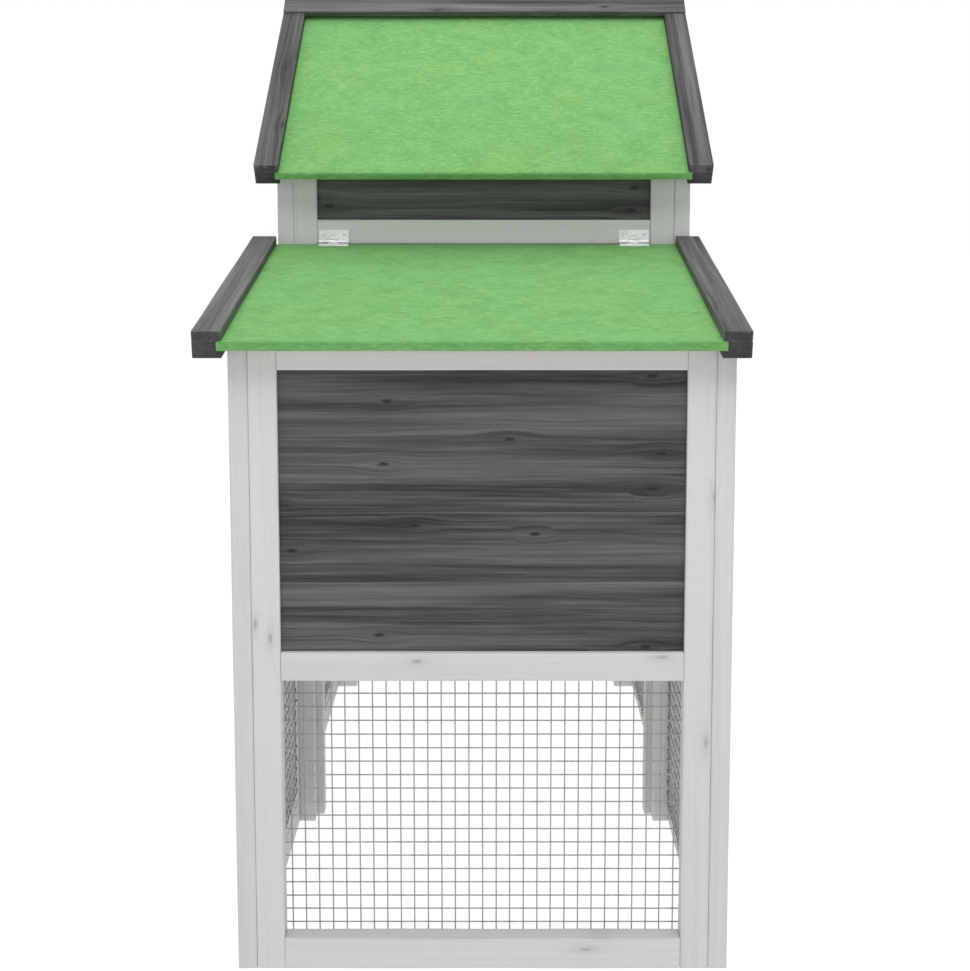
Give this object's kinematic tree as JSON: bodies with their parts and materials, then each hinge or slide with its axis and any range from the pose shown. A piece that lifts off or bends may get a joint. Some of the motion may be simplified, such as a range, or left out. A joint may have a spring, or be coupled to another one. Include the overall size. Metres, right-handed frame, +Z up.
{
  "type": "rabbit hutch",
  "caption": "Two-storey wooden rabbit hutch: gabled middle tower, two lower wings with hinged felted roofs, mesh runs below and a ramp inside.",
  "frame": {"origin": "middle of the whole hutch, roofs included, on the ground", "axes": "+X along the hutch to the right wing, -Y towards the front doors, +Z up"},
  "size_m": [1.4, 0.636, 1.209],
  "materials": {
    "white_washed_wood": "fir sticks with a thin pale grey wash, fine grain",
    "grey_stained_wood": "fir boards stained dark grey, open grain with light streaks and small knots",
    "plain_wood": "unfinished fir boards, inside and under the roofs",
    "roofing_felt": "green bitumen roofing felt with a matt fibrous face",
    "zinc_plate": "bright zinc plate",
    "galvanised_mesh": "galvanised welded wire"
  },
  "bodies": {
    "hutch": {"back_mesh": "galvanised_mesh", "back_planks": "grey_stained_wood", "bolt_keepers": "zinc_plate", "corner_battens": "white_washed_wood", "door_hinge_plates": "zinc_plate", "end_frame_left": "white_washed_wood", "end_frame_right": "white_washed_wood", "end_mesh_left": "galvanised_mesh", "end_mesh_right": "galvanised_mesh", "end_planks_left": "grey_stained_wood", "end_planks_right": "grey_stained_wood", "floor_boards": "plain_wood", "gable_planks": "grey_stained_wood", "ridge_boards": "grey_stained_wood", "roof_hinge_plates": "zinc_plate", "tower_back_frame": "white_washed_wood", "tower_front_frame": "white_washed_wood", "tower_roof_board": "plain_wood", "tower_roof_felt": "roofing_felt", "tower_roof_trim": "grey_stained_wood", "tower_side_frame_left": "white_washed_wood", "tower_side_frame_right": "white_washed_wood", "tower_side_planks_left": "grey_stained_wood", "tower_side_planks_right": "grey_stained_wood", "wing_back_frame_left": "white_washed_wood", "wing_back_frame_right": "white_washed_wood", "wing_front_frame_left": "white_washed_wood", "wing_front_frame_right": "white_washed_wood", "wing_front_planks": "grey_stained_wood"},
    "right_wing_roof": {"wing_roof_board_right": "plain_wood", "wing_roof_felt_right": "roofing_felt", "wing_roof_hinge_leaves_right": "zinc_plate", "wing_roof_trim_right": "grey_stained_wood"},
    "left_wing_roof": {"wing_roof_board_left": "plain_wood", "wing_roof_felt_left": "roofing_felt", "wing_roof_hinge_leaves_left": "zinc_plate", "wing_roof_trim_left": "grey_stained_wood"},
    "upper_door": {"door_frame_upper": "white_washed_wood", "door_hardware_upper": "zinc_plate", "door_mesh_upper": "galvanised_mesh", "door_planks_upper": "grey_stained_wood"},
    "upper_bolt": {"door_bolt_upper": "zinc_plate"},
    "lower_door": {"door_frame_lower": "white_washed_wood", "door_hardware_lower": "zinc_plate", "door_mesh_lower": "galvanised_mesh"},
    "lower_bolt": {"door_bolt_lower": "zinc_plate"},
    "left_door": {"door_frame_left": "white_washed_wood", "door_hardware_left": "zinc_plate", "door_mesh_left": "galvanised_mesh"},
    "left_bolt": {"door_bolt_left": "zinc_plate"},
    "right_door": {"door_frame_right": "white_washed_wood", "door_hardware_right": "zinc_plate", "door_mesh_right": "galvanised_mesh"},
    "right_bolt": {"door_bolt_right": "zinc_plate"},
    "ramp": {"ramp_board": "plain_wood", "ramp_treads": "plain_wood", "ramp_hinge_leaves": "zinc_plate"}
  },
  "joints": [
    {"name": "right_roof_lift", "type": "hinge", "parent": "hutch", "child": "right_wing_roof", "pos_m": [0.2668, 0.0055, 0.84158], "axis": [0, -1, 0], "range_deg": [0, 55]},
    {"name": "left_roof_lift", "type": "hinge", "parent": "hutch", "child": "left_wing_roof", "pos_m": [-0.2668, 0.0055, 0.84158], "axis": [0, 1, 0], "range_deg": [0, 55]},
    {"name": "upper_door_swing", "type": "hinge", "parent": "hutch", "child": "upper_door", "pos_m": [-0.23, -0.2873, 0.6125], "axis": [0, 0, -1], "range_deg": [0, 110]},
    {"name": "lower_door_swing", "type": "hinge", "parent": "hutch", "child": "lower_door", "pos_m": [-0.23, -0.2873, 0.1955], "axis": [0, 0, -1], "range_deg": [0, 110]},
    {"name": "left_door_swing", "type": "hinge", "parent": "hutch", "child": "left_door", "pos_m": [-0.63, -0.2873, 0.1955], "axis": [0, 0, -1], "range_deg": [0, 110]},
    {"name": "right_door_swing", "type": "hinge", "parent": "hutch", "child": "right_door", "pos_m": [0.63, -0.2873, 0.1955], "axis": [0, 0, 1], "range_deg": [0, 110]},
    {"name": "upper_bolt_slide", "type": "slide", "parent": "upper_door", "child": "upper_bolt", "axis": [1, 0, 0], "range_m": [0, 0.012]},
    {"name": "lower_bolt_slide", "type": "slide", "parent": "lower_door", "child": "lower_bolt", "axis": [1, 0, 0], "range_m": [0, 0.012]},
    {"name": "left_bolt_slide", "type": "slide", "parent": "left_door", "child": "left_bolt", "axis": [1, 0, 0], "range_m": [0, 0.012]},
    {"name": "right_bolt_slide", "type": "slide", "parent": "right_door", "child": "right_bolt", "axis": [-1, 0, 0], "range_m": [0, 0.012]},
    {"name": "ramp_lift", "type": "hinge", "parent": "hutch", "child": "ramp", "pos_m": [-0.0528, 0.1505, 0.373], "axis": [0, 1, 0], "range_deg": [0, 26]}
  ]
}
